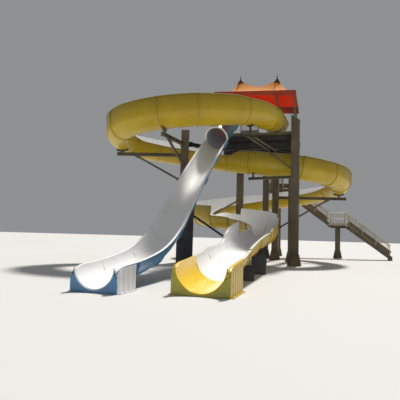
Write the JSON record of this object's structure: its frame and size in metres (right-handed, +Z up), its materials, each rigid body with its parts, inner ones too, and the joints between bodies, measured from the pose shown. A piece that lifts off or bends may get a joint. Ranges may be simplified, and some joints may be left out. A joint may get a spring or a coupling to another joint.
{
  "type": "water slide tower",
  "caption": "Fairground water slide tower with an open looping slide and a straight chute that drop from a canopied deck reached by a stair",
  "frame": {"origin": "centre of the footprint's bounding box, at ground level", "axes": "+Z up, -Y from the deck towards the slide exits, +X to the right as seen from the exits"},
  "size_m": [21.9554, 28.3274, 12.12],
  "materials": {
    "yellow_gelcoat": "glossy gelcoat over fibreglass, white inside the channel, slightly weathered",
    "white_gelcoat": "glossy gelcoat over fibreglass, blue outside the channel, slightly weathered",
    "steel_brown": "satin brown-taupe paint, a little faded",
    "steel_dark": "satin dark brown paint",
    "guard_paint": "satin beige paint on tube rails",
    "deck_grp": "matt ribbed glass-reinforced deck boards",
    "concrete": "matt dark painted concrete",
    "canopy_fabric": "matt tensioned orange fabric with a maroon edge band"
  },
  "bodies": {
    "root": {"back_left_column": "steel_brown", "back_right_column": "steel_brown", "canopy_fabric": "canopy_fabric", "canopy_frame": "steel_brown", "deck_floor": "deck_grp", "deck_frame": "steel_dark", "deck_guard_front": "guard_paint", "deck_guard_left": "guard_paint", "deck_guard_right": "guard_paint", "final_turn_pier": "concrete", "final_turn_strut": "steel_dark", "front_right_column": "steel_brown", "front_run_struts": "steel_dark", "left_column": "steel_brown", "left_column_pedestal": "concrete", "run_pier_lower": "concrete", "run_pier_upper": "concrete", "stair_flight_lower": "steel_brown", "stair_flight_middle": "steel_brown", "stair_flight_upper": "steel_brown", "stair_landing_lower": "steel_brown", "stair_landing_upper": "steel_brown", "tie_beam": "steel_dark", "walkway": "deck_grp", "walkway_column_left": "steel_brown", "walkway_column_right": "steel_brown", "walkway_guard_left": "guard_paint", "walkway_guard_right": "guard_paint", "white_chute_curve": "white_gelcoat", "white_chute_lower": "white_gelcoat", "white_chute_upper": "white_gelcoat", "white_exit": "white_gelcoat", "white_start_tube": "white_gelcoat", "yellow_cross_over": "yellow_gelcoat", "yellow_exit": "yellow_gelcoat", "yellow_final_run_lower": "yellow_gelcoat", "yellow_final_run_upper": "yellow_gelcoat", "yellow_final_turn": "yellow_gelcoat", "yellow_front_run": "yellow_gelcoat", "yellow_lower_back_run": "yellow_gelcoat", "yellow_lower_left_turn": "yellow_gelcoat", "yellow_lower_right_turn": "yellow_gelcoat", "yellow_middle_run": "yellow_gelcoat", "yellow_near_run": "yellow_gelcoat", "yellow_start_tub": "yellow_gelcoat", "yellow_upper_back_run": "yellow_gelcoat", "yellow_upper_left_turn": "yellow_gelcoat", "yellow_upper_right_turn": "yellow_gelcoat"}
  },
  "joints": []
}
